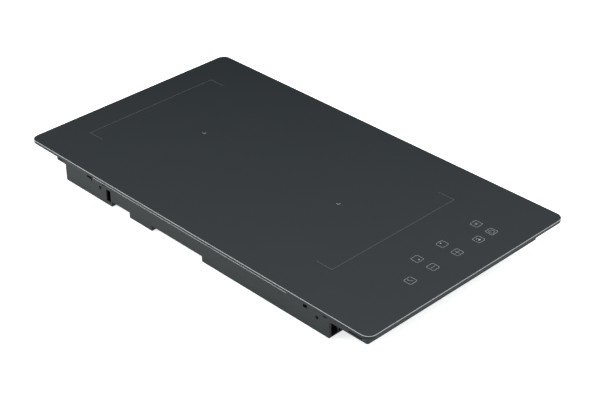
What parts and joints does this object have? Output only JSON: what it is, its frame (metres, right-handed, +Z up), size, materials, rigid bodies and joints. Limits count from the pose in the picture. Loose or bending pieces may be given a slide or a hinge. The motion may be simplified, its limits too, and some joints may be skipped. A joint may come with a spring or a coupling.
{
  "type": "electric induction cooktop",
  "caption": "Drop-in induction hob: dark glass-ceramic plate on a stepped plastic housing with coils, power board and cooling blower inside.",
  "frame": {"origin": "on the underside of the housing, below the centre of the glass plate", "axes": "+Z up through the glass, +Y towards the rear long way of the plate, +X to the user's right; the touch keys are at the front, -Y"},
  "size_m": [0.29, 0.52, 0.0475],
  "materials": {
    "blower_plastic": "moulded",
    "brass": "turned brass",
    "capacitor_can": "sleeved can",
    "capacitor_film": "dipped epoxy",
    "carrier_plastic": "moulded",
    "circuit_board": "solder resist",
    "coil_plate_aluminium": "mill finish sheet",
    "component_plastic": "moulded epoxy",
    "copper_winding": "enamelled stranded copper",
    "ferrite": "sintered ferrite",
    "former_plastic": "moulded",
    "frame_plastic": "fine spark-eroded grain",
    "fuse_ceramic": "ceramic tube",
    "glass_ceramic": "opaque dark grey glass-ceramic, polished",
    "heat_sink_aluminium": "extruded",
    "housing_plastic": "fine spark-eroded grain",
    "lamp_lens": "clear lens",
    "lead_sleeve": "silicone sleeving",
    "mica": "mica sheet",
    "ribbon_sleeve": "flat cable",
    "screw_steel": "zinc plated",
    "seal_foam": "closed-cell foam",
    "sensor_ceramic": "glazed ceramic",
    "shaft_steel": "ground steel",
    "silicone_bond": "cured silicone",
    "silicone_rubber": "silicone rubber",
    "stator_steel": "laminated steel",
    "terminal_plastic": "moulded",
    "touch_rubber": "conductive rubber"
  },
  "bodies": {
    "hob_body": {"blower_cover": "blower_plastic", "blower_housing": "blower_plastic", "blower_screws": "screw_steel", "board_screws": "screw_steel", "bond_bead": "silicone_bond", "bridge_rectifier": "component_plastic", "buzzer": "component_plastic", "cable_grommet": "silicone_rubber", "choke_core": "ferrite", "choke_winding": "copper_winding", "coil_plate": "coil_plate_aluminium", "coil_plate_screws": "screw_steel", "coil_terminals": "brass", "control_board": "circuit_board", "control_carrier": "carrier_plastic", "control_ribbon": "ribbon_sleeve", "controller_chip": "component_plastic", "electrolytic_capacitors": "capacitor_can", "fan_bearing": "brass", "fan_circuit_board": "circuit_board", "fan_lead": "lead_sleeve", "fan_stator": "stator_steel", "front_coil_bumpers": "silicone_rubber", "front_coil_former": "former_plastic", "front_coil_leads": "lead_sleeve", "front_coil_winding": "copper_winding", "front_ferrites": "ferrite", "front_mica_sheet": "mica", "front_sensor_boot": "silicone_rubber", "front_temperature_sensor": "sensor_ceramic", "glass_plate": "glass_ceramic", "heat_sink": "heat_sink_aluminium", "housing_screws": "screw_steel", "igbt_transistors": "component_plastic", "indicator_lamps": "lamp_lens", "lower_housing": "housing_plastic", "mains_fuse": "fuse_ceramic", "mains_leads": "lead_sleeve", "mains_relay": "component_plastic", "power_board": "circuit_board", "rear_coil_bumpers": "silicone_rubber", "rear_coil_former": "former_plastic", "rear_coil_leads": "lead_sleeve", "rear_coil_winding": "copper_winding", "rear_ferrites": "ferrite", "rear_mica_sheet": "mica", "rear_sensor_boot": "silicone_rubber", "rear_temperature_sensor": "sensor_ceramic", "resonance_capacitors": "capacitor_film", "stator_windings": "copper_winding", "supply_transformer": "ferrite", "terminal_block": "terminal_plastic", "terminal_clamps": "brass", "terminal_screws": "screw_steel", "touch_posts": "touch_rubber", "upper_frame": "frame_plastic", "worktop_seal": "seal_foam"},
    "blower_rotor": {"impeller": "blower_plastic", "rotor_magnet": "ferrite", "fan_shaft": "shaft_steel"}
  },
  "joints": [
    {"name": "blower_spin", "type": "hinge", "parent": "hob_body", "child": "blower_rotor", "pos_m": [-0.022, 0.175, 0.013], "axis": [0, 0, 1], "continuous": true}
  ]
}
